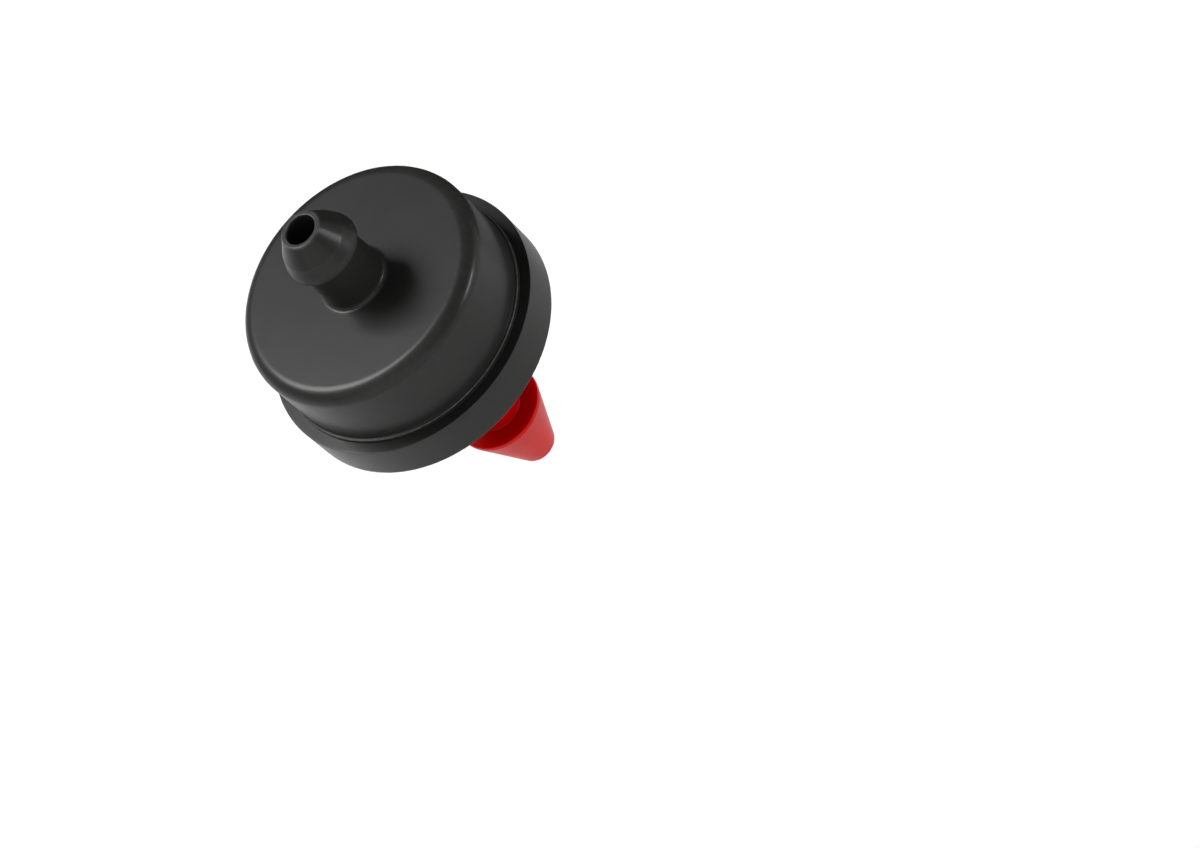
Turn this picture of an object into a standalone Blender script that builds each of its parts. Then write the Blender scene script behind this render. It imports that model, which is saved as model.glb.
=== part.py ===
"""Pressure-compensating drip emitter, button type, with a conical barb inlet.

Metres, +Z up. The water flows along +Z: in through the barb, past the labyrinth and the diaphragm,
out through the nipple. The origin is the centre of the seat that rests on the supply pipe.
"""
from math import atan2, cos, pi, radians, sin, tan

import bmesh
import bpy
from mathutils import Vector

MM = 0.001

# Driving dimensions, in millimetres
SEAT_TO_FLANGE = 6.8            # from the pipe seat up to the underside of the flange
FLANGE_DIAMETER = 19.0
FLANGE_THICKNESS = 2.88
CAP_HEIGHT = 8.47               # from the underside of the flange to the front face
CAP_ROOT_DIAMETER = 17.4        # where the cap rises from the flange
CAP_TOP_DIAMETER = 17.0         # where the rounded edge begins
CAP_EDGE_ROUND = 0.97
NIPPLE_LENGTH = 6.36            # from the front face to the mouth
OUTLET_BORE = 2.08
BARB_DIAMETER = 5.13            # largest diameter of the outlet nipple
NECK_DIAMETER = 4.22            # of the outlet nipple, behind its barb
MOUTH_DIAMETER = 2.64
CONE_DIAMETER = 4.34            # where the nipple's cone turns into the barb's bulge
CONE_LENGTH = 1.4               # from the mouth
BARB_LENGTH = 2.53              # from the mouth back to the barb's rear shoulder
BULGE_DIAMETER = 4.99           # of the barb just ahead of its rear lip
BULGE_LENGTH = 0.33             # of the nearly straight part behind the bulge
BULGE_ROUND = 1.2
LIP_UNDERCUT = 0.12             # how far the barb's rear face leans back
NECK_ROOT_DIAMETER = 4.36       # where the outlet nipple leaves the front face
NECK_FLARE_HEIGHT = 2.2         # above the face, where the neck starts to flare
NECK_FLARE_ROUND = 2.5
NECK_ROOT_FILLET = 0.25
BOSS_ROOT_DIAMETER = 9.8        # of the boss that stands the flange off the pipe
BOSS_SEAT_DIAMETER = 7.4
INLET_NECK_DIAMETER = 3.6
INLET_NECK_LENGTH = 3.05        # from the pipe seat to the shoulder of the inlet barb
INLET_BARB_DIAMETER = 6.34
INLET_BARB_LENGTH = 5.93
INLET_BARB_LAND = 0.32          # the short cylinder behind the cone
INLET_TIP_DIAMETER = 2.7
INLET_BORE = 1.4
DIAPHRAGM_DIAMETER = 12.4
DIAPHRAGM_THICKNESS = 0.9
DIAPHRAGM_TRAVEL = 0.35         # from rest until it is against the outlet seat

# Roundings, in millimetres
LIP_ROUND = 0.04                # of the lips that grip the pipe and the tube
FINE_ROUND = 0.06
EDGE_ROUND = 0.1
SOFT_ROUND = 0.2
TIP_ROUND = 0.35
WALL_FILLET = 0.1               # between the cap's wall and the flange
BOSS_FILLET = 0.5

SEGMENTS = 36                   # facets around every turned piece, so that coaxial pieces line up
ARC_STEP = radians(30)          # turn between two points of a rounded corner
CRISP_ANGLE = radians(30)       # edges that turn more than this stay crisp
MERGE_DISTANCE = 1e-7           # metres
FIT = 0.05                      # clearance between pieces that touch
LID_GAP = 0.04                  # clearance between faces that lie on each other

# Heights of the main faces above the pipe seat
FLANGE_BOTTOM = SEAT_TO_FLANGE
FLANGE_TOP = FLANGE_BOTTOM + FLANGE_THICKNESS
FRONT_FACE = FLANGE_BOTTOM + CAP_HEIGHT
MOUTH = FRONT_FACE + NIPPLE_LENGTH

# The inside of the cap, from the flange up
RECESS_DEPTH = 2.25             # holds the disc of the inlet base
RECESS_RADIUS = 8.25
CHAMBER_RADIUS = 7.15           # holds the labyrinth disc
CLAMP_RADIUS = 6.85             # the step that holds the labyrinth disc down
LABYRINTH_THICKNESS = 2.0
LABYRINTH_RIM = 0.66            # height of its rim around the diaphragm
CEILING_THICKNESS = 1.3
CEILING_FILLET = 0.5
SEAT_RADIUS = 2.2               # of the raised ring that the diaphragm closes against
SEAT_TAPER = 0.2                # how much wider that ring is at its root
DIAPHRAGM_REST = 0.08           # how far the diaphragm rests above its ledge

LABYRINTH_BOTTOM = FLANGE_BOTTOM + RECESS_DEPTH
LABYRINTH_TOP = LABYRINTH_BOTTOM + LABYRINTH_THICKNESS
CLAMP_STEP = LABYRINTH_TOP + LABYRINTH_RIM + LID_GAP
DIAPHRAGM_BOTTOM = LABYRINTH_TOP + DIAPHRAGM_REST
OUTLET_SEAT = DIAPHRAGM_BOTTOM + DIAPHRAGM_THICKNESS + DIAPHRAGM_TRAVEL + FIT
CEILING = FRONT_FACE - CEILING_THICKNESS

# The zigzag channel in the underside of the labyrinth disc
CHANNEL_RADIUS = 5.1            # of its middle line
CHANNEL_SWING = 0.5             # how far it swings in and out
CHANNEL_WIDTH = 0.8
CHANNEL_DEPTH = 0.8
CHANNEL_TURNS = 36
CHANNEL_ARC = radians(320)
FEED_WIDTH = 1.0                # of the radial groove that feeds the channel
FEED_START = 1.4                # radius where it begins, over the chamber of the inlet
FEED_EXTRA_DEPTH = 0.1
RISER_RADIUS = 0.5              # of the hole that leads up to the diaphragm
RISER_SIDES = 8
STRAINER_RADIUS = 2.4           # of the chamber at the head of the inlet passage
STRAINER_START = 1.4            # height where the passage starts to widen
STRAINER_FULL = 3.4             # height where the chamber has its full width

# The ledge in the top of the labyrinth disc that carries the edge of the diaphragm
LEDGE_RADIUS = 5.6
LEDGE_HEIGHT = 0.25
EDGE_CLEARANCE = 0.15           # around the diaphragm, where the water comes past it
BYPASS_SLOTS = 4
BYPASS_WIDTH = 1.2
BYPASS_MARGIN = 0.05            # left between a slot, the rim and the floor of the pocket

METERING_GROOVE = 0.5           # width of the groove across the outlet seat
GROOVE_DEPTH = 0.3
OVERSHOOT = 0.5                 # how far a cutter passes through the face it opens


def clear_scene():
    for item in list(bpy.data.objects):
        bpy.data.objects.remove(item, do_unlink=True)


def material(name, colour, roughness, subsurface=0.0):
    made = bpy.data.materials.new(name)
    made.use_nodes = True
    shader = made.node_tree.nodes["Principled BSDF"]
    shader.inputs["Base Color"].default_value = (*colour, 1.0)
    shader.inputs["Roughness"].default_value = roughness
    shader.inputs["Metallic"].default_value = 0.0
    shader.inputs["Subsurface Weight"].default_value = subsurface
    return made


def rounded(corners):
    """Points (radius, height) of an outline given by corners (radius, height, rounding)."""
    points = []
    for index, (r, z, rounding) in enumerate(corners):
        here = Vector((r, z))
        before = Vector(corners[index - 1][:2])
        after = Vector(corners[(index + 1) % len(corners)][:2])
        if rounding == 0.0:
            points.append(here)
            continue
        to_before = (before - here).normalized()
        to_after = (after - here).normalized()
        half_angle = to_before.angle(to_after) / 2
        setback = rounding / tan(half_angle)
        centre = here + (to_before + to_after).normalized() * rounding / sin(half_angle)
        first = here + to_before * setback - centre
        last = here + to_after * setback - centre
        sweep = atan2(first.x * last.y - first.y * last.x, first.dot(last))
        start = atan2(first.y, first.x)
        steps = max(1, round(abs(sweep) / ARC_STEP))
        for step in range(steps + 1):
            angle = start + sweep * step / steps
            points.append(centre + Vector((cos(angle), sin(angle))) * rounding)
    return points


def add_object(name, mesh, finish=None):
    made = bpy.data.objects.new(name, mesh)
    bpy.context.scene.collection.objects.link(made)
    if finish:
        mesh.materials.append(finish)
    return made


def turned(name, corners, finish):
    """A solid of revolution. An outline that starts on the axis ends there too."""
    points = rounded(corners)
    shape = bmesh.new()
    outline = [shape.verts.new((p.x * MM, 0.0, p.y * MM)) for p in points]
    edges = [shape.edges.new(pair) for pair in zip(outline, outline[1:])]
    if points[0].x > 0.0:
        edges.append(shape.edges.new((outline[-1], outline[0])))
    bmesh.ops.spin(shape, geom=outline + edges, cent=(0, 0, 0), axis=(0, 0, 1),
                   angle=2 * pi, steps=SEGMENTS)
    bmesh.ops.remove_doubles(shape, verts=shape.verts, dist=MERGE_DISTANCE)
    bmesh.ops.recalc_face_normals(shape, faces=shape.faces)
    mesh = bpy.data.meshes.new(name)
    shape.to_mesh(mesh)
    shape.free()
    mesh.shade_smooth()
    mesh.set_sharp_from_angle(angle=CRISP_ANGLE)
    return add_object(name, mesh, finish)


def prism(name, outline, low, high):
    """A closed block between two heights, its outline given counterclockwise from above."""
    count = len(outline)
    bottom = [(x * MM, y * MM, low * MM) for x, y in outline]
    top = [(x * MM, y * MM, high * MM) for x, y in outline]
    faces = [tuple(reversed(range(count))), tuple(range(count, 2 * count))]
    for i in range(count):
        j = (i + 1) % count
        faces.append((i, j, count + j, count + i))
    mesh = bpy.data.meshes.new(name)
    mesh.from_pydata(bottom + top, [], faces)
    return add_object(name, mesh)


def cut(target, cutter):
    cutter.hide_render = True
    cutter.display_type = "WIRE"
    boolean = target.modifiers.new(cutter.name, "BOOLEAN")
    boolean.operation = "DIFFERENCE"
    boolean.solver = "EXACT"
    boolean.object = cutter


def make_outlet_cap(black):
    bore = OUTLET_BORE / 2
    barb = BARB_DIAMETER / 2
    neck = NECK_DIAMETER / 2
    barb_rear = MOUTH - BARB_LENGTH
    nipple = [
        (bore, MOUTH, FINE_ROUND),
        (MOUTH_DIAMETER / 2, MOUTH, EDGE_ROUND),
        (CONE_DIAMETER / 2, MOUTH - CONE_LENGTH, 0.0),
        (BULGE_DIAMETER / 2, barb_rear + BULGE_LENGTH, BULGE_ROUND),
        (barb, barb_rear, LIP_ROUND),
        (neck, barb_rear - LIP_UNDERCUT, EDGE_ROUND),
        (neck, FRONT_FACE + NECK_FLARE_HEIGHT, NECK_FLARE_ROUND),
        (NECK_ROOT_DIAMETER / 2, FRONT_FACE, NECK_ROOT_FILLET),
    ]
    shell = [
        (CAP_TOP_DIAMETER / 2, FRONT_FACE, CAP_EDGE_ROUND),
        (CAP_ROOT_DIAMETER / 2, FLANGE_TOP, WALL_FILLET),
        (FLANGE_DIAMETER / 2, FLANGE_TOP, FINE_ROUND),
        (FLANGE_DIAMETER / 2, FLANGE_BOTTOM, FINE_ROUND),
    ]
    inside = [
        (RECESS_RADIUS, FLANGE_BOTTOM, EDGE_ROUND),
        (RECESS_RADIUS, LABYRINTH_BOTTOM, 0.0),
        (CHAMBER_RADIUS, LABYRINTH_BOTTOM, 0.0),
        (CHAMBER_RADIUS, CLAMP_STEP, 0.0),
        (CLAMP_RADIUS, CLAMP_STEP, 0.0),
        (CLAMP_RADIUS, CEILING, CEILING_FILLET),
        (SEAT_RADIUS + SEAT_TAPER, CEILING, SOFT_ROUND),
        (SEAT_RADIUS, OUTLET_SEAT, 0.0),
        (bore, OUTLET_SEAT, 0.0),
    ]
    cap = turned("outlet_cap", nipple + shell + inside, black)
    half = METERING_GROOVE / 2
    reach = SEAT_RADIUS + SEAT_TAPER / 2
    groove = prism("metering_groove", [(0.0, -half), (reach, -half), (reach, half), (0.0, half)],
                   OUTLET_SEAT - OVERSHOOT, OUTLET_SEAT + GROOVE_DEPTH)
    cut(cap, groove)
    return cap


def make_inlet_base(red):
    bore = INLET_BORE / 2
    neck = INLET_NECK_DIAMETER / 2
    barb = INLET_BARB_DIAMETER / 2
    shoulder = -INLET_NECK_LENGTH
    tip = shoulder - INLET_BARB_LENGTH
    disc = RECESS_RADIUS - FIT
    top = LABYRINTH_BOTTOM - LID_GAP
    outer = [
        (disc, top, EDGE_ROUND),
        (disc, FLANGE_BOTTOM, EDGE_ROUND),
        (BOSS_ROOT_DIAMETER / 2, FLANGE_BOTTOM, BOSS_FILLET),
        (BOSS_SEAT_DIAMETER / 2, 0.0, SOFT_ROUND),
        (neck, 0.0, 0.0),
        (neck, shoulder, 0.0),
        (barb, shoulder, LIP_ROUND),
        (barb, shoulder - INLET_BARB_LAND, EDGE_ROUND),
        (INLET_TIP_DIAMETER / 2, tip, TIP_ROUND),
    ]
    passage = [
        (bore, tip, EDGE_ROUND),
        (bore, STRAINER_START, 0.0),
        (STRAINER_RADIUS, STRAINER_FULL, 0.0),
        (STRAINER_RADIUS, top, 0.0),
    ]
    return turned("inlet_base", outer + passage, red)


def channel_outline():
    """The zigzag strip: along its outer side, and back along its inner side."""
    inner = []
    outer = []
    for turn in range(CHANNEL_TURNS + 1):
        angle = CHANNEL_ARC * turn / CHANNEL_TURNS
        swing = CHANNEL_SWING if turn % 2 else -CHANNEL_SWING
        near = CHANNEL_RADIUS + swing - CHANNEL_WIDTH / 2
        far = near + CHANNEL_WIDTH
        inner.append((near * cos(angle), near * sin(angle)))
        outer.append((far * cos(angle), far * sin(angle)))
    return outer + inner[::-1]


def radial_slot(name, angle, start, end, width, low, high):
    """A cutter for a straight slot that runs outwards at an angle."""
    along = Vector((cos(angle), sin(angle)))
    across = Vector((-sin(angle), cos(angle))) * width / 2
    outline = [along * start - across, along * end - across,
               along * end + across, along * start + across]
    return prism(name, outline, low, high)


def make_labyrinth_disc(grey):
    rim_outer = CHAMBER_RADIUS - FIT
    rim_inner = DIAPHRAGM_DIAMETER / 2 + EDGE_CLEARANCE
    rim_top = LABYRINTH_TOP + LABYRINTH_RIM
    pocket = LABYRINTH_TOP - LEDGE_HEIGHT
    disc = turned("labyrinth_disc", [
        (0.0, pocket, 0.0),
        (LEDGE_RADIUS, pocket, 0.0),
        (LEDGE_RADIUS, LABYRINTH_TOP, 0.0),
        (rim_inner, LABYRINTH_TOP, 0.0),
        (rim_inner, rim_top, EDGE_ROUND),
        (rim_outer, rim_top, EDGE_ROUND),
        (rim_outer, LABYRINTH_BOTTOM, EDGE_ROUND),
        (0.0, LABYRINTH_BOTTOM, 0.0),
    ], grey)
    low = LABYRINTH_BOTTOM - OVERSHOOT
    roof = LABYRINTH_BOTTOM + CHANNEL_DEPTH
    cut(disc, prism("zigzag_channel", channel_outline(), low, roof))
    cut(disc, radial_slot("channel_feed", 0.0, FEED_START, CHANNEL_RADIUS,
                          FEED_WIDTH, low, roof + FEED_EXTRA_DEPTH))
    end = Vector((cos(CHANNEL_ARC), sin(CHANNEL_ARC))) * (CHANNEL_RADIUS - CHANNEL_SWING)
    steps = [2 * pi * step / RISER_SIDES for step in range(RISER_SIDES)]
    riser = [end + Vector((cos(step), sin(step))) * RISER_RADIUS for step in steps]
    cut(disc, prism("channel_riser", riser, low - OVERSHOOT, LABYRINTH_TOP + OVERSHOOT))
    for number in range(BYPASS_SLOTS):
        angle = 2 * pi * (number + 0.5) / BYPASS_SLOTS
        cut(disc, radial_slot(f"bypass_slot_{number}", angle, LEDGE_RADIUS - OVERSHOOT,
                              rim_inner - BYPASS_MARGIN, BYPASS_WIDTH, pocket + BYPASS_MARGIN,
                              LABYRINTH_TOP + OVERSHOOT))
    return disc


def make_diaphragm(silicone):
    """The disc stands on its joint's empty, whose Z axis it slides along."""
    radius = DIAPHRAGM_DIAMETER / 2
    slide = bpy.data.objects.new("diaphragm_slide", None)
    bpy.context.scene.collection.objects.link(slide)
    slide.location.z = DIAPHRAGM_BOTTOM * MM
    disc = turned("diaphragm", [
        (0.0, DIAPHRAGM_THICKNESS, 0.0),
        (radius, DIAPHRAGM_THICKNESS, SOFT_ROUND),
        (radius, 0.0, SOFT_ROUND),
        (0.0, 0.0, 0.0),
    ], silicone)
    disc.parent = slide
    return disc


def main():
    clear_scene()
    black = material("black acetal", (0.012, 0.012, 0.012), 0.45)
    red = material("red acetal", (0.38, 0.003, 0.004), 0.4, subsurface=0.05)
    grey = material("natural acetal", (0.55, 0.55, 0.52), 0.45)
    silicone = material("silicone rubber", (0.5, 0.5, 0.48), 0.6, subsurface=0.1)
    make_outlet_cap(black)
    make_inlet_base(red)
    make_labyrinth_disc(grey)
    make_diaphragm(silicone)


main()
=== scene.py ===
"""The finished look of the drip emitter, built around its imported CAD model."""
from math import atan2, cos, pi, radians, sin, tan

import bmesh
import bpy
from mathutils import Matrix, Vector


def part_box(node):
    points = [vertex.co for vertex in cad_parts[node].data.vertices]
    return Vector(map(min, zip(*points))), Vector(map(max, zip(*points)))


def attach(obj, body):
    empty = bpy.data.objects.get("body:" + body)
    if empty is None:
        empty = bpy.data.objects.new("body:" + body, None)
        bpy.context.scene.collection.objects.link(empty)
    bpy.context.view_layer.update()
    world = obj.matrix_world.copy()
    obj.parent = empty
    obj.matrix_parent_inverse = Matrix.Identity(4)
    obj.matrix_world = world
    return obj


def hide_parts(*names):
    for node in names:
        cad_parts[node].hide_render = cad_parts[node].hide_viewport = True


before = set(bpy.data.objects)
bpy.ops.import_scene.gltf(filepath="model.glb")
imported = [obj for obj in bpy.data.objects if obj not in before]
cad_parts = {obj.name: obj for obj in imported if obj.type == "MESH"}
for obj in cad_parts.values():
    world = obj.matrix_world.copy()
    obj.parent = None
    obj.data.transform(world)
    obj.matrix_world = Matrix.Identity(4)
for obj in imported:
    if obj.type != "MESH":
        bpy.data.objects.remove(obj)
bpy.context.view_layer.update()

MM = 0.001

# Where the CAD model stands, in millimetres
CAP_LOW, CAP_HIGH = (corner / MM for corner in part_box("outlet_cap"))
BASE_LOW, BASE_HIGH = (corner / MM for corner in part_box("inlet_base"))
DISC_LOW, DISC_HIGH = (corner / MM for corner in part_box("labyrinth_disc"))
RUBBER_LOW, RUBBER_HIGH = (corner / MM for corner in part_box("diaphragm"))

SEGMENTS = 192                  # around every turned piece
ARC_STEP = radians(9)           # turn between two points of a rounded corner
CRISP_ANGLE = radians(35)       # edges that turn more than this stay crisp
MERGE_DISTANCE = 1e-7           # metres
WEAR_AND_HIGHLIGHT_REACH = 0.12               # how far the edge wear and its painted highlight run out beside an outer edge, in millimetres
CRISP_WEAR_AND_HIGHLIGHT = 0.5                # of an outer edge rounded by EDGE_ROUND or less: lighter worn colour that also paints a highlight along it
FAINT_WEAR = 0.05
OVERSHOOT = 0.5                 # how far a cutter passes through the face it opens
FIT = 0.05                      # clearance between pieces that touch
LID_GAP = 0.04                  # clearance between faces that lie on each other

# Roundings, in millimetres
SHARP_ROUND = 0.03
LIP_ROUND = 0.04                # of the lips that grip the pipe and the tube
TUCK_ROUND = 0.05
FINE_ROUND = 0.06
EDGE_ROUND = 0.1
FULL_ROUND = 0.12
BLUNT_ROUND = 0.15
SOFT_ROUND = 0.2

# The outlet cap, in millimetres
FLANGE_RADIUS = CAP_HIGH.x
FLANGE_BOTTOM = CAP_LOW.z
FLANGE_TOP = FLANGE_BOTTOM + 2.88
FRONT_FACE = FLANGE_BOTTOM + 8.47
CAP_TOP_RADIUS = 8.53           # where the rounded edge begins
CAP_EDGE_ROUND = 0.97
WALL_FOOT_RADIUS = 8.58
STEP_RADIUS = 8.74              # of the small step at the foot of the wall
STEP_HEIGHT = 0.28
STEP_FALL = 0.05                # from the wall out to the step's edge
STEP_SPREAD = 0.03              # how much wider the step is at the flange
# lighter colour on the step's edge: a painted highlight line, given as wear
STEP_PAINTED_HIGHLIGHT = 0.8

# Its nipple
MOUTH = CAP_HIGH.z
OUTLET_BORE_RADIUS = 1.04
MOUTH_RADIUS = 1.32
CONE_RADIUS = 2.17              # where the cone turns into the barb's bulge
CONE_LENGTH = 1.4
BULGE_RADIUS = 2.5              # of the barb just ahead of its rear lip
BULGE_LENGTH = 0.33
BULGE_ROUND = 1.2
BARB_RADIUS = 2.565
BARB_REAR = MOUTH - 2.53
LIP_UNDERCUT = 0.12             # how far the barb's rear face leans back
NECK_RADIUS = 2.12
NECK_FLARE_HEIGHT = 2.2         # above the face, where the neck starts to flare
NECK_FLARE_ROUND = 2.5
NECK_ROOT_RADIUS = 2.18
NECK_ROOT_FILLET = 0.25
# lighter colour in the fillet at the neck's root: a painted highlight ring
NECK_ROOT_PAINTED_HIGHLIGHT = 0.12

# Its inside
RECESS_RADIUS = BASE_HIGH.x + FIT
CHAMBER_RADIUS = DISC_HIGH.x + FIT
CLAMP_RADIUS = 6.85             # of the step that holds the labyrinth disc down
CLAMP_STEP = DISC_HIGH.z + LID_GAP
CEILING = FRONT_FACE - 1.3
CEILING_FILLET = 0.5
SEAT_RADIUS = 2.2               # of the raised ring that the diaphragm closes against
SEAT_TAPER = 0.2                # how much wider that ring is at its root
OUTLET_SEAT = RUBBER_HIGH.z + 0.4

# The inlet base, in millimetres, its pipe seat at height 0
BOSS_ROOT_RADIUS = 4.9
BOSS_FILLET = 0.5
BOSS_SEAT_RADIUS = 3.7
INLET_TIP = BASE_LOW.z
INLET_TIP_RADIUS = 1.35
INLET_TIP_ROUND = 0.35
INLET_SHOULDER = INLET_TIP + 5.93
INLET_BARB_RADIUS = 3.17
INLET_BARB_LAND = 0.32          # the short cylinder behind the cone
INLET_LIP_WEAR = 0.1
INLET_NECK_RADIUS = 1.8
INLET_BORE_RADIUS = 0.7
STRAINER_RADIUS = 2.4           # of the chamber at the head of the inlet passage
STRAINER_START = 1.4            # height where the passage starts to widen
STRAINER_FULL = 3.4             # height where the chamber has its full width

# The marks that the ejector pins leave in the underside of the inlet's disc, in millimetres
EJECTOR_MARKS = 3
EJECTOR_CIRCLE = 6.6
EJECTOR_RADIUS = 0.75
EJECTOR_DEPTH = 0.06

# The labyrinth disc, in millimetres
LABYRINTH_THICKNESS = 2.0
LEDGE_RADIUS = 5.6              # inside this the disc is sunk below the diaphragm
LEDGE_HEIGHT = 0.25
EDGE_CLEARANCE = 0.15           # between the diaphragm and the rim
CHANNEL_RADIUS = 5.1            # of the zigzag channel's middle line
CHANNEL_SWING = 0.5             # how far it swings in and out
CHANNEL_WIDTH = 0.8
CHANNEL_DEPTH = 0.8
CHANNEL_TURNS = 36
CHANNEL_ARC = radians(320)
FEED_START = 1.4                # radius where the groove that feeds the channel begins
FEED_WIDTH = 1.0
FEED_EXTRA_DEPTH = 0.1
RISER_RADIUS = 0.5              # of the hole that leads up to the diaphragm
BYPASS_SLOTS = 4
BYPASS_WIDTH = 1.2
BYPASS_MARGIN = 0.05            # left between a slot, the rim and the floor of the pocket

# The diaphragm's parting line, in millimetres
PARTING_DEPTH = 0.05            # how far it stands out
PARTING_ROOT = 0.05             # half its height where it starts
PARTING_EDGE = 0.03             # and at its edge
PARTING_ROUND = 0.01
DIAPHRAGM_ROUND = 0.25

# Moulded plastic: the size of its features in millimetres, and how far they spread its look
CLOUD_SIZE = 4.0
SPECKLE_SIZE = 0.35
PIT_SIZE = 0.12
MOTTLE = 0.12                   # share of the colour, up and down
CLOUD_GLOSS = 0.025             # of roughness, up and down
PIT_GLOSS = 0.03
POLISH = 0.05                   # of roughness, taken off by full wear
SKIN_ROUGHNESS = 0.22           # of the smooth skin over the grain


def corner_arc(here, before, after, rounding):
    """The points of one rounded corner of an outline."""
    to_before = (before - here).normalized()
    to_after = (after - here).normalized()
    half_angle = to_before.angle(to_after) / 2
    setback = rounding / tan(half_angle)
    centre = here + (to_before + to_after).normalized() * rounding / sin(half_angle)
    first = here + to_before * setback - centre
    last = here + to_after * setback - centre
    sweep = atan2(first.x * last.y - first.y * last.x, first.dot(last))
    start = atan2(first.y, first.x)
    steps = max(2, round(abs(sweep) / ARC_STEP))
    angles = [start + sweep * step / steps for step in range(steps + 1)]
    return [centre + Vector((cos(angle), sin(angle))) * rounding for angle in angles]


def towards(end, neighbour):
    """Where the wear and painted highlight of a corner have run out, on the way to the next corner.
    """
    run = neighbour - end
    return end + run.normalized() * min(WEAR_AND_HIGHLIGHT_REACH, run.length / 4)


def rounded(corners):
    """An outline's points and how much lighter colour each gets, for wear and painted highlights,
    from corners (radius, height, rounding, wear and highlight).

    The outline keeps the solid on its right, so an outer corner turns to the right. An outer
    corner without an amount of its own gets the more the crisper it is.
    """
    points = []
    for index, (r, z, rounding, *own_wear_and_highlight) in enumerate(corners):
        here = Vector((r, z))
        if r == 0.0:
            points.append((here, 0.0))
            continue
        before = Vector(corners[index - 1][:2])
        after = Vector(corners[(index + 1) % len(corners)][:2])
        outer = (here - before).cross(after - here) < 0.0
        usual_wear_and_highlight = CRISP_WEAR_AND_HIGHLIGHT * EDGE_ROUND / max(rounding, EDGE_ROUND)
        wear_and_highlight = own_wear_and_highlight[0] if own_wear_and_highlight else outer * usual_wear_and_highlight
        arc = corner_arc(here, before, after, rounding) if rounding else [here]
        points.append((towards(arc[0], before), 0.0))
        points.extend((point, wear_and_highlight) for point in arc)
        points.append((towards(arc[-1], after), 0.0))
    return points


def turned(name, corners, finish, segments=SEGMENTS):
    """A solid of revolution. An outline that starts on the axis ends there too."""
    points = rounded(corners)
    shape = bmesh.new()
    wear_and_highlight_layer = shape.verts.layers.float.new("wear_and_highlight")
    outline = []
    for point, wear_and_highlight in points:
        vertex = shape.verts.new((point.x * MM, 0.0, point.y * MM))
        vertex[wear_and_highlight_layer] = wear_and_highlight
        outline.append(vertex)
    edges = [shape.edges.new(pair) for pair in zip(outline, outline[1:])]
    if points[0][0].x > 0.0:
        edges.append(shape.edges.new((outline[-1], outline[0])))
    bmesh.ops.spin(shape, geom=outline + edges, cent=(0, 0, 0), axis=(0, 0, 1),
                   angle=2 * pi, steps=segments)
    bmesh.ops.remove_doubles(shape, verts=shape.verts, dist=MERGE_DISTANCE)
    bmesh.ops.recalc_face_normals(shape, faces=shape.faces)
    mesh = bpy.data.meshes.new(name)
    shape.to_mesh(mesh)
    shape.free()
    mesh.shade_smooth()
    mesh.set_sharp_from_angle(angle=CRISP_ANGLE)
    made = bpy.data.objects.new(name, mesh)
    bpy.context.scene.collection.objects.link(made)
    mesh.materials.append(finish)
    return made


def add_node(tree, kind, inputs, **settings):
    """A node with its settings, and with each input set to a value or linked to a socket."""
    made = tree.nodes.new(kind)
    for setting, value in settings.items():
        setattr(made, setting, value)
    for name, value in inputs.items():
        if isinstance(value, bpy.types.NodeSocket):
            tree.links.new(value, made.inputs[name])
        else:
            made.inputs[name].default_value = value
    return made


def noise(tree, feature, detail=3.0):
    """Noise in the piece's own space, with features of a size in millimetres, from 0 to 1."""
    place = add_node(tree, "ShaderNodeTexCoord", {})
    made = add_node(tree, "ShaderNodeTexNoise", {
        "Vector": place.outputs["Object"], "Scale": 1.0 / (feature * MM), "Detail": detail})
    return made.outputs["Fac"]


def spread(tree, value, low, high):
    """Noise stretched to run from low to high."""
    made = add_node(tree, "ShaderNodeMapRange", {
        "Value": value, "From Min": 0.3, "From Max": 0.7, "To Min": low, "To Max": high})
    return made.outputs["Result"]


def combine(tree, operation, first, second):
    made = add_node(tree, "ShaderNodeMath", {0: first, 1: second}, operation=operation)
    return made.outputs["Value"]


def blend_colours(tree, factor, first, second):
    made = tree.nodes.new("ShaderNodeMix")
    made.data_type = "RGBA"
    tree.links.new(factor, made.inputs["Factor"])
    for name, value in (("A", first), ("B", second)):
        socket = next(s for s in made.inputs if s.name == name and s.type == "RGBA")
        if isinstance(value, bpy.types.NodeSocket):
            tree.links.new(value, socket)
        else:
            socket.default_value = (*value, 1.0)
    return next(s for s in made.outputs if s.type == "RGBA")


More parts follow.
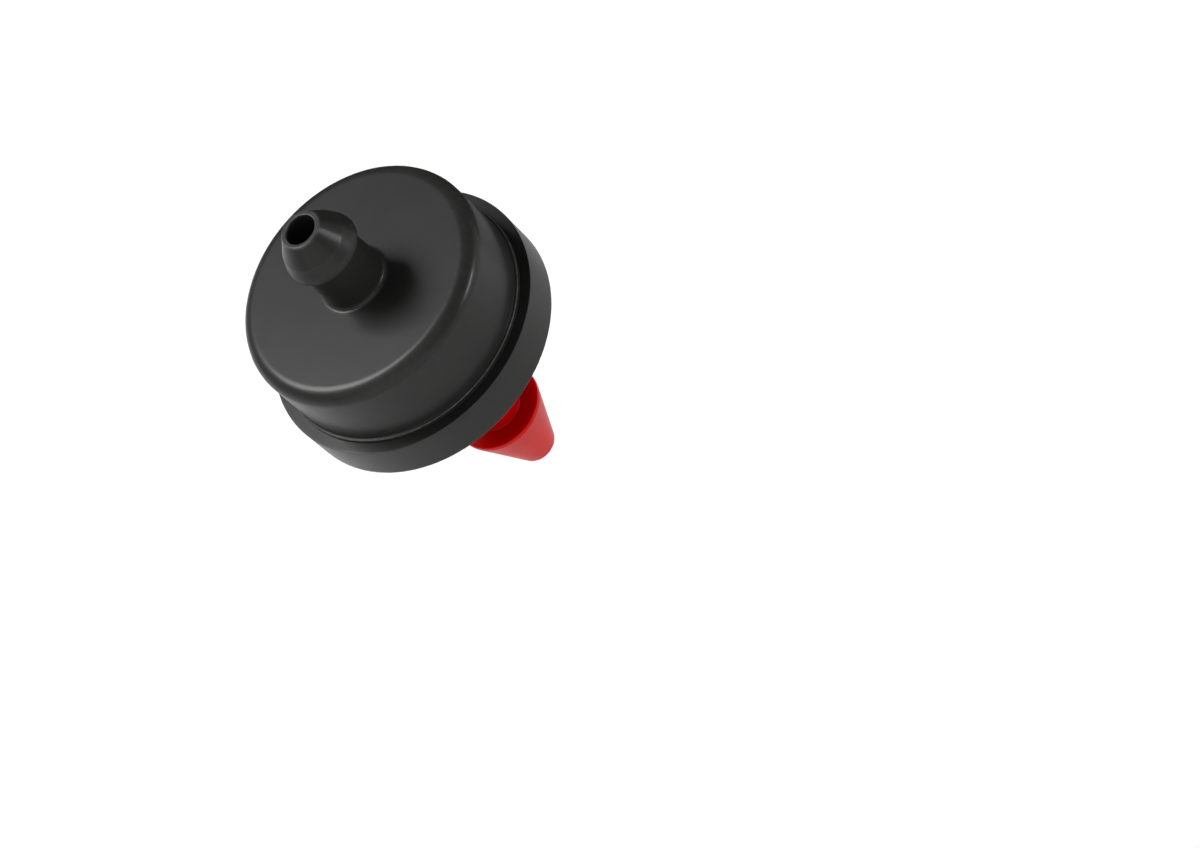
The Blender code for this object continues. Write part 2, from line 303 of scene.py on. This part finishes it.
def moulded_plastic(name, colour, worn_and_highlight_colour, roughness, specular, skin):
    """Satin injection-moulded plastic: a spark-eroded grain, clouds in the gloss from the
    flow of the melt, and outer edges that handling has polished and made lighter, the lighter
    colour also painting highlight lines on some edges and fillets."""
    made = bpy.data.materials.new(name)
    made.use_nodes = True
    tree = made.node_tree
    shader = tree.nodes["Principled BSDF"]
    shader.inputs["Specular IOR Level"].default_value = specular
    shader.inputs["Coat Weight"].default_value = skin
    shader.inputs["Coat Roughness"].default_value = SKIN_ROUGHNESS

    clouds = noise(tree, CLOUD_SIZE, detail=2.0)
    speckle = noise(tree, SPECKLE_SIZE)
    pits = noise(tree, PIT_SIZE, detail=4.0)
    # wear and painted highlight: lighter colour on worn edges, and highlight lines painted on some
    # edges and fillets
    edge = add_node(tree, "ShaderNodeAttribute", {}, attribute_name="wear_and_highlight").outputs["Fac"]
    worn_and_highlight = combine(tree, "MULTIPLY", edge, spread(tree, speckle, 0.25, 1.0))

    dark = tuple(part * (1.0 - MOTTLE) for part in colour)
    light = tuple(part * (1.0 + MOTTLE) for part in colour)
    mottled = blend_colours(tree, spread(tree, clouds, 0.0, 1.0), dark, light)
    tinted = blend_colours(tree, worn_and_highlight, mottled, worn_and_highlight_colour)
    tree.links.new(tinted, shader.inputs["Base Color"])

    cloudy = spread(tree, clouds, roughness - CLOUD_GLOSS, roughness + CLOUD_GLOSS)
    gloss = combine(tree, "ADD", cloudy, spread(tree, pits, -PIT_GLOSS, PIT_GLOSS))
    polished = combine(tree, "SUBTRACT", gloss, combine(tree, "MULTIPLY", worn_and_highlight, POLISH))
    tree.links.new(polished, shader.inputs["Roughness"])

    bump = add_node(tree, "ShaderNodeBump", {"Height": pits, "Strength": 0.25,
                                             "Distance": 0.01 * MM})
    tree.links.new(bump.outputs["Normal"], shader.inputs["Normal"])
    return made


def silicone_rubber(name):
    """Milky, slightly tacky rubber that holds a little dust."""
    made = bpy.data.materials.new(name)
    made.use_nodes = True
    tree = made.node_tree
    shader = tree.nodes["Principled BSDF"]
    shader.inputs["Subsurface Weight"].default_value = 0.3
    shader.inputs["Subsurface Scale"].default_value = 0.5 * MM
    shader.inputs["Sheen Weight"].default_value = 0.1
    clouds = noise(tree, 3.0, detail=2.0)
    dust = noise(tree, 0.2)
    skin = noise(tree, 0.5, detail=4.0)
    milk = blend_colours(tree, spread(tree, clouds, 0.0, 1.0), (0.6, 0.6, 0.56), (0.68, 0.68, 0.65))
    dusted = blend_colours(tree, spread(tree, dust, 0.0, 0.35), milk, (0.5, 0.48, 0.43))
    tree.links.new(dusted, shader.inputs["Base Color"])
    tree.links.new(spread(tree, dust, 0.5, 0.66), shader.inputs["Roughness"])
    bump = add_node(tree, "ShaderNodeBump", {"Height": skin, "Strength": 0.2,
                                             "Distance": 0.02 * MM})
    tree.links.new(bump.outputs["Normal"], shader.inputs["Normal"])
    return made


def make_cap(black):
    nipple = [
        (OUTLET_BORE_RADIUS, MOUTH, FINE_ROUND),
        (MOUTH_RADIUS, MOUTH, EDGE_ROUND),
        (CONE_RADIUS, MOUTH - CONE_LENGTH, SHARP_ROUND, FAINT_WEAR),
        (BULGE_RADIUS, BARB_REAR + BULGE_LENGTH, BULGE_ROUND),
        (BARB_RADIUS, BARB_REAR, LIP_ROUND, FAINT_WEAR),
        (NECK_RADIUS, BARB_REAR - LIP_UNDERCUT, FULL_ROUND),
        (NECK_RADIUS, FRONT_FACE + NECK_FLARE_HEIGHT, NECK_FLARE_ROUND),
        # the root fillet carries a painted highlight ring in the lighter colour
        (NECK_ROOT_RADIUS, FRONT_FACE, NECK_ROOT_FILLET, NECK_ROOT_PAINTED_HIGHLIGHT),
    ]
    shell = [
        (CAP_TOP_RADIUS, FRONT_FACE, CAP_EDGE_ROUND),
        (WALL_FOOT_RADIUS, FLANGE_TOP + STEP_HEIGHT + STEP_FALL, SHARP_ROUND),
        # the step's edge carries a painted highlight line in the lighter colour
        (STEP_RADIUS, FLANGE_TOP + STEP_HEIGHT, LIP_ROUND, STEP_PAINTED_HIGHLIGHT),
        (STEP_RADIUS + STEP_SPREAD, FLANGE_TOP, 0.0),
        (FLANGE_RADIUS, FLANGE_TOP, SHARP_ROUND, 0.0),
        (FLANGE_RADIUS, FLANGE_BOTTOM, FINE_ROUND, FAINT_WEAR),
    ]
    inside = [
        (RECESS_RADIUS, FLANGE_BOTTOM, EDGE_ROUND),
        (RECESS_RADIUS, DISC_LOW.z, 0.0),
        (CHAMBER_RADIUS, DISC_LOW.z, 0.0),
        (CHAMBER_RADIUS, CLAMP_STEP, 0.0),
        (CLAMP_RADIUS, CLAMP_STEP, 0.0),
        (CLAMP_RADIUS, CEILING, CEILING_FILLET),
        (SEAT_RADIUS + SEAT_TAPER, CEILING, SOFT_ROUND),
        (SEAT_RADIUS, OUTLET_SEAT, 0.0),
        (OUTLET_BORE_RADIUS, OUTLET_SEAT, 0.0),
    ]
    cap = turned("cap_shell", nipple + shell + inside, black)
    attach(cap, "housing")
    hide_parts("outlet_cap")


def prism(outline, low, high):
    """A closed block between two heights, its outline given counterclockwise from above."""
    count = len(outline)
    corners = [(x * MM, y * MM, z * MM) for z in (low, high) for x, y in outline]
    sides = [(i, (i + 1) % count, count + (i + 1) % count, count + i) for i in range(count)]
    faces = [tuple(reversed(range(count))), tuple(range(count, 2 * count))] + sides
    mesh = bpy.data.meshes.new("cutter")
    mesh.from_pydata(corners, [], faces)
    made = bpy.data.objects.new("cutter", mesh)
    bpy.context.scene.collection.objects.link(made)
    return made


def polar(radius, angle):
    return Vector((cos(angle), sin(angle))) * radius


def circle(centre, radius, count=32):
    return [centre + polar(radius, 2 * pi * step / count) for step in range(count)]


def slot_outline(angle, start, end, width):
    """A straight slot that runs outwards at an angle."""
    across = polar(width / 2, angle + pi / 2)
    near, far = polar(start, angle), polar(end, angle)
    return [near - across, far - across, far + across, near + across]


def carve(piece, cutters):
    """Cut the cutters out of a piece for good, and clear them away."""
    for cutter in cutters:
        boolean = piece.modifiers.new(cutter.name, "BOOLEAN")
        boolean.operation = "DIFFERENCE"
        boolean.solver = "EXACT"
        boolean.object = cutter
    whole = piece.data
    evaluated = piece.evaluated_get(bpy.context.evaluated_depsgraph_get())
    piece.data = bpy.data.meshes.new_from_object(evaluated)
    piece.modifiers.clear()
    bpy.data.meshes.remove(whole)
    piece.data.name = piece.name
    piece.data.set_sharp_from_angle(angle=CRISP_ANGLE)
    for cutter in cutters:
        mesh = cutter.data
        bpy.data.objects.remove(cutter)
        bpy.data.meshes.remove(mesh)


def make_base(red):
    outer = [
        (BASE_HIGH.x, BASE_HIGH.z, EDGE_ROUND),
        (BASE_HIGH.x, FLANGE_BOTTOM, EDGE_ROUND),
        (BOSS_ROOT_RADIUS, FLANGE_BOTTOM, BOSS_FILLET),
        (BOSS_SEAT_RADIUS, 0.0, SOFT_ROUND),
        (INLET_NECK_RADIUS, 0.0, TUCK_ROUND),
        (INLET_NECK_RADIUS, INLET_SHOULDER, BLUNT_ROUND),
        (INLET_BARB_RADIUS, INLET_SHOULDER, LIP_ROUND, INLET_LIP_WEAR),
        (INLET_BARB_RADIUS, INLET_SHOULDER - INLET_BARB_LAND, BLUNT_ROUND),
        (INLET_TIP_RADIUS, INLET_TIP, INLET_TIP_ROUND),
    ]
    passage = [
        (INLET_BORE_RADIUS, INLET_TIP, EDGE_ROUND),
        (INLET_BORE_RADIUS, STRAINER_START, 0.0),
        (STRAINER_RADIUS, STRAINER_FULL, 0.0),
        (STRAINER_RADIUS, BASE_HIGH.z, 0.0),
    ]
    base = turned("inlet_barb", outer + passage, red)
    low, high = FLANGE_BOTTOM - OVERSHOOT, FLANGE_BOTTOM + EJECTOR_DEPTH
    cutters = []
    for mark in range(EJECTOR_MARKS):
        place = polar(EJECTOR_CIRCLE, 2 * pi * (mark + 0.5) / EJECTOR_MARKS)
        cutters.append(prism(circle(place, EJECTOR_RADIUS), low, high))
    carve(base, cutters)
    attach(base, "housing")
    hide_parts("inlet_base")


def channel_outline():
    """The zigzag strip: along its outer side, and back along its inner side."""
    inner = []
    outer = []
    for turn in range(CHANNEL_TURNS + 1):
        angle = CHANNEL_ARC * turn / CHANNEL_TURNS
        middle = CHANNEL_RADIUS + (CHANNEL_SWING if turn % 2 else -CHANNEL_SWING)
        inner.append(polar(middle - CHANNEL_WIDTH / 2, angle))
        outer.append(polar(middle + CHANNEL_WIDTH / 2, angle))
    return outer + inner[::-1]


def make_labyrinth(natural):
    low, high = DISC_LOW.z, DISC_HIGH.z
    floor_top = low + LABYRINTH_THICKNESS
    rim_inner = RUBBER_HIGH.x + EDGE_CLEARANCE
    pocket = floor_top - LEDGE_HEIGHT
    disc = turned("labyrinth", [
        (0.0, pocket, 0.0),
        (LEDGE_RADIUS, pocket, FINE_ROUND),
        (LEDGE_RADIUS, floor_top, TUCK_ROUND),
        (rim_inner, floor_top, 0.08),
        (rim_inner, high, FULL_ROUND),
        (DISC_HIGH.x, high, BLUNT_ROUND),
        (DISC_HIGH.x, low, BLUNT_ROUND),
        (0.0, low, 0.0),
    ], natural)
    roof = low + CHANNEL_DEPTH
    riser = polar(CHANNEL_RADIUS - CHANNEL_SWING, CHANNEL_ARC)
    cutters = [
        prism(channel_outline(), low - OVERSHOOT, roof),
        prism(slot_outline(0.0, FEED_START, CHANNEL_RADIUS, FEED_WIDTH),
              low - OVERSHOOT, roof + FEED_EXTRA_DEPTH),
        prism(circle(riser, RISER_RADIUS), low - 2 * OVERSHOOT, floor_top + OVERSHOOT),
    ]
    for number in range(BYPASS_SLOTS):
        angle = 2 * pi * (number + 0.5) / BYPASS_SLOTS
        outline = slot_outline(angle, LEDGE_RADIUS - OVERSHOOT, rim_inner - BYPASS_MARGIN,
                               BYPASS_WIDTH)
        cutters.append(prism(outline, pocket + BYPASS_MARGIN, floor_top + OVERSHOOT))
    carve(disc, cutters)
    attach(disc, "housing")
    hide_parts("labyrinth_disc")


def make_diaphragm(silicone):
    """A soft disc with rounded edges and the thin parting line of its mould around it."""
    low, high, ridge = RUBBER_LOW.z, RUBBER_HIGH.z, RUBBER_HIGH.x
    side = ridge - PARTING_DEPTH
    middle = (low + high) / 2
    disc = turned("diaphragm_disc", [
        (0.0, high, 0.0),
        (side, high, DIAPHRAGM_ROUND),
        (side, middle + PARTING_ROOT, 0.0),
        (ridge, middle + PARTING_EDGE, PARTING_ROUND),
        (ridge, middle - PARTING_EDGE, PARTING_ROUND),
        (side, middle - PARTING_ROOT, 0.0),
        (side, low, DIAPHRAGM_ROUND),
        (0.0, low, 0.0),
    ], silicone)
    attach(disc, "regulator")
    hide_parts("diaphragm")


# The view: how far the camera stands off the emitter's axis, and how far it leans
VIEW_OFF_AXIS = radians(38.97)
VIEW_ROLL = radians(46.64)
VIEW_DISTANCE = 0.19134
VIEW_LENS = 88.55
VIEW_AIM = (-0.011506, 0.005442)  # where the flange stands right of and above the middle


def make_camera():
    back = Vector((0.0, -sin(VIEW_OFF_AXIS), cos(VIEW_OFF_AXIS)))
    upright = (Vector((0.0, 0.0, 1.0)) - back * cos(VIEW_OFF_AXIS)).normalized()
    sideways = upright.cross(back)
    right = sideways * cos(VIEW_ROLL) - upright * sin(VIEW_ROLL)
    up = back.cross(right)
    target = Vector((0.0, 0.0, FLANGE_BOTTOM * MM))
    place = target - right * VIEW_AIM[0] - up * VIEW_AIM[1] + back * VIEW_DISTANCE
    data = bpy.data.cameras.new("camera")
    data.lens = VIEW_LENS
    data.sensor_width = 36.0
    data.clip_start = 0.01
    data.clip_end = 20.0
    camera = bpy.data.objects.new("camera", data)
    bpy.context.scene.collection.objects.link(camera)
    turn = Matrix((right, up, back)).transposed().to_4x4()
    camera.matrix_world = Matrix.Translation(place) @ turn
    bpy.context.scene.camera = camera


# The studio, in metres
FLOOR_LEVEL = BASE_LOW.z * MM - 0.07
FLOOR_HALF = 2.0
NEAR_GLOW = 0.03                # of the floor under the emitter
FAR_GLOW = 0.6                  # where the lamps no longer reach
GLOW_START, GLOW_FULL = 0.35, 1.1
FLAG_DISTANCE = 0.09
FLAG_TOP = 0.045
FLAG_START, FLAG_END = radians(8), radians(100)
FLAG_PANELS = 12
HORIZON_LIGHT, CEILING_LIGHT = 0.7, 0.07
CEILING_START = 0.35            # sine of the elevation
LAMP_DISTANCE = 0.8
LAMPS = [                       # name, azimuth, elevation, width, height and power in watts
    ("key_core", 115, 55, 0.35, 0.35, 4.9),
    ("key_halo", 128, 57, 0.5, 0.5, 2.2),
    ("front_panel", 240, 14, 1.4, 0.8, 2.2),
    ("fill_panel", 225, 55, 1.0, 1.0, 1.4),
    ("edge_strip", -32, 7, 0.34, 0.12, 2.3),
]


def make_floor():
    sides = ((-1, -1), (1, -1), (1, 1), (-1, 1))
    corners = [(x * FLOOR_HALF, y * FLOOR_HALF, FLOOR_LEVEL) for x, y in sides]
    mesh = bpy.data.meshes.new("floor")
    mesh.from_pydata(corners, [], [(0, 1, 2, 3)])
    white = bpy.data.materials.new("floor white")
    white.use_nodes = True
    shader = white.node_tree.nodes["Principled BSDF"]
    shader.inputs["Base Color"].default_value = (0.9, 0.9, 0.9, 1.0)
    shader.inputs["Roughness"].default_value = 0.9
    shader.inputs["Specular IOR Level"].default_value = 0.2
    shader.inputs["Emission Color"].default_value = (1.0, 1.0, 1.0, 1.0)
    tree = white.node_tree
    place = add_node(tree, "ShaderNodeTexCoord", {})
    away = add_node(tree, "ShaderNodeVectorMath", {"Vector": place.outputs["Object"]},
                    operation="LENGTH")
    glow = add_node(tree, "ShaderNodeMapRange", {
        "Value": away.outputs["Value"], "From Min": GLOW_START, "From Max": GLOW_FULL,
        "To Min": NEAR_GLOW, "To Max": FAR_GLOW})
    tree.links.new(glow.outputs["Result"], shader.inputs["Emission Strength"])
    mesh.materials.append(white)
    floor = bpy.data.objects.new("floor", mesh)
    bpy.context.scene.collection.objects.link(floor)


def make_lamp(name, azimuth, elevation, width, height, power):
    """A soft lamp that shines at the emitter's cap, its direction given in degrees."""
    target = Vector((0.0, 0.0, FRONT_FACE * MM))
    around, upwards = radians(azimuth), radians(elevation)
    direction = Vector((cos(around) * cos(upwards), sin(around) * cos(upwards), sin(upwards)))
    data = bpy.data.lights.new(name, "AREA")
    data.shape = "ELLIPSE"
    data.size = width
    data.size_y = height
    data.energy = power
    lamp = bpy.data.objects.new(name, data)
    bpy.context.scene.collection.objects.link(lamp)
    lamp.location = target + direction * LAMP_DISTANCE
    lamp.rotation_euler = direction.to_track_quat("Z", "Y").to_euler()
    lamp.visible_camera = False


def make_flag():
    """A black card, seen only in reflections, that keeps the floor's shine off one side."""
    corners = []
    for fold in range(FLAG_PANELS + 1):
        place = polar(FLAG_DISTANCE, FLAG_START + (FLAG_END - FLAG_START) * fold / FLAG_PANELS)
        corners += [(*place, FLOOR_LEVEL), (*place, FLAG_TOP)]
    panels = [(i, i + 2, i + 3, i + 1) for i in range(0, 2 * FLAG_PANELS, 2)]
    mesh = bpy.data.meshes.new("flag")
    mesh.from_pydata(corners, [], panels)
    black = bpy.data.materials.new("flag black")
    black.use_nodes = True
    shader = black.node_tree.nodes["Principled BSDF"]
    shader.inputs["Base Color"].default_value = (0.01, 0.01, 0.01, 1.0)
    shader.inputs["Roughness"].default_value = 0.9
    mesh.materials.append(black)
    flag = bpy.data.objects.new("flag", mesh)
    bpy.context.scene.collection.objects.link(flag)
    flag.visible_camera = False
    flag.visible_shadow = False
    flag.visible_diffuse = False


def make_light():
    """A bright horizon under a dim ceiling, a key light with a soft rim, and accents."""
    world = bpy.data.worlds.new("studio")
    bpy.context.scene.world = world
    world.use_nodes = True
    tree = world.node_tree
    place = add_node(tree, "ShaderNodeTexCoord", {})
    split = add_node(tree, "ShaderNodeSeparateXYZ", {"Vector": place.outputs["Generated"]})
    fade = add_node(tree, "ShaderNodeMapRange", {
        "Value": split.outputs["Z"], "From Min": 0.0, "From Max": CEILING_START,
        "To Min": HORIZON_LIGHT, "To Max": CEILING_LIGHT})
    tree.links.new(fade.outputs["Result"], tree.nodes["Background"].inputs["Strength"])
    tree.nodes["Background"].inputs["Color"].default_value = (1.0, 1.0, 1.0, 1.0)
    for lamp in LAMPS:
        make_lamp(*lamp)
    bpy.context.scene.view_settings.view_transform = "Standard"


def main():
    make_camera()
    make_floor()
    make_flag()
    make_light()
    # the second colour is the lighter one, for worn edges and painted highlight lines
    black = moulded_plastic("black acetal", (0.0155, 0.0155, 0.015), (0.13, 0.13, 0.127),
                            0.42, 0.1, 0.2)
    red = moulded_plastic("red acetal", (0.44, 0.0, 0.0), (0.45, 0.02, 0.02), 0.4, 0.1, 0.0)
    glow = red.node_tree.nodes["Principled BSDF"]
    glow.inputs["Subsurface Weight"].default_value = 0.7
    glow.inputs["Subsurface Scale"].default_value = 1.5 * MM
    natural = moulded_plastic("natural acetal", (0.56, 0.55, 0.5), (0.66, 0.65, 0.62),
                              0.42, 0.5, 0.05)
    silicone = silicone_rubber("silicone rubber")
    make_cap(black)
    make_base(red)
    make_labyrinth(natural)
    make_diaphragm(silicone)


main()
